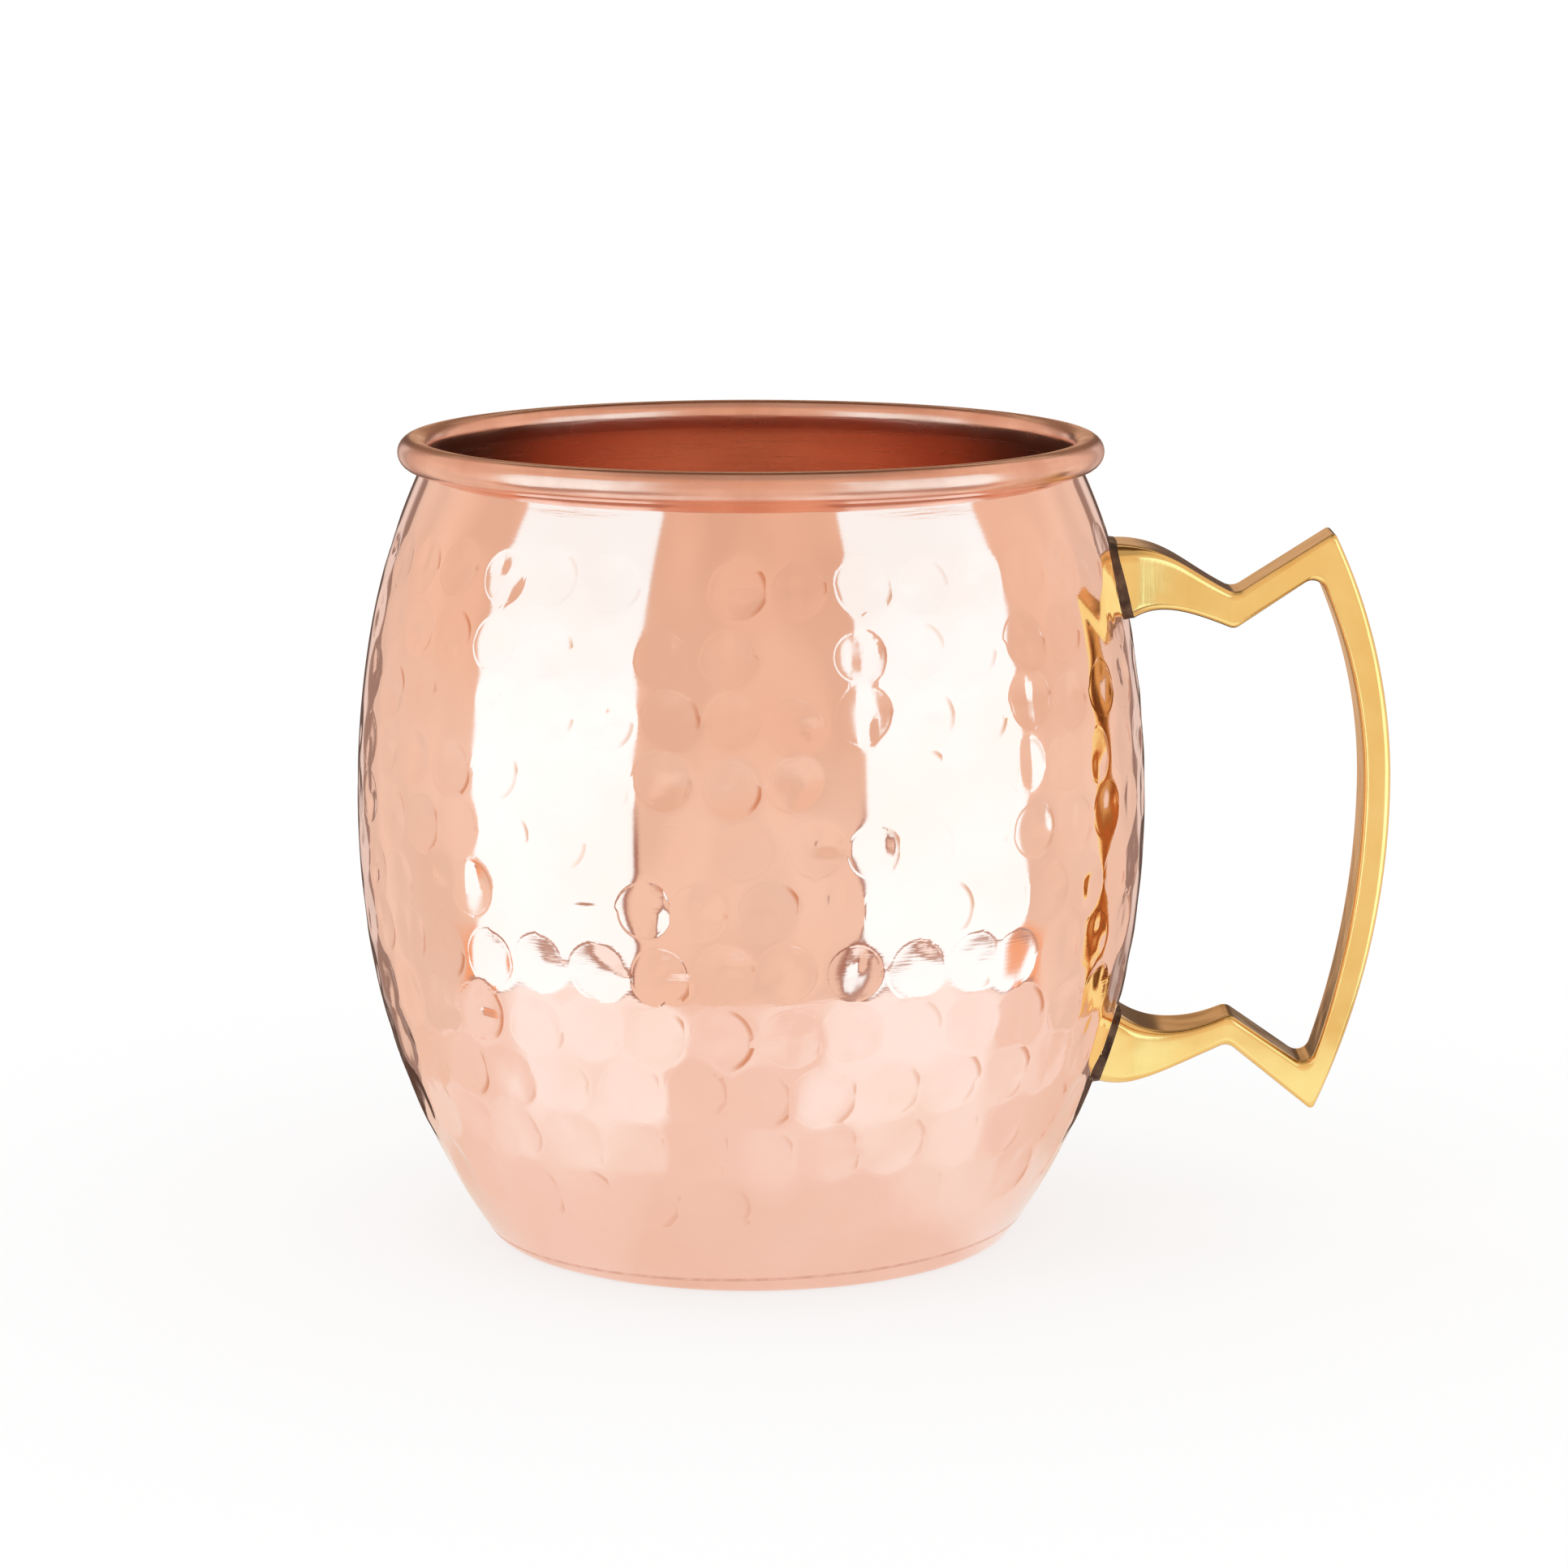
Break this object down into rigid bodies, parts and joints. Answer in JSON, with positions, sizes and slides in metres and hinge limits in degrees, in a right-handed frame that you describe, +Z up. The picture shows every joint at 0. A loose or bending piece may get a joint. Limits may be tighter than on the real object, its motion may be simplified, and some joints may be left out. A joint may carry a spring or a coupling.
{
  "type": "hammered metal mug",
  "caption": "Barrel-shaped hammered copper mug with a hollow rolled rim, a brazed-in flat base and an angular cast brass handle.",
  "frame": {"origin": "centre of the flat base, on the barrel's axis, at table height", "axes": "+Z up along the barrel's axis, +X out through the handle, +Y to the back when the handle is on the right"},
  "size_m": [0.1231, 0.094, 0.0961],
  "materials": {
    "hammered_copper": "hand-hammered, polished and lacquered copper sheet",
    "smooth_copper": "smooth polished copper sheet",
    "seam_braze": "filed braze line, slightly darkened",
    "cast_brass": "polished sand-cast brass with softened edges",
    "handle_braze": "unpolished braze, darkened by the torch"
  },
  "bodies": {
    "root": {"barrel_wall": "hammered_copper", "base_pan": "smooth_copper", "base_seam": "seam_braze", "handle": "cast_brass", "upper_handle_braze": "handle_braze", "lower_handle_braze": "handle_braze"}
  },
  "joints": []
}
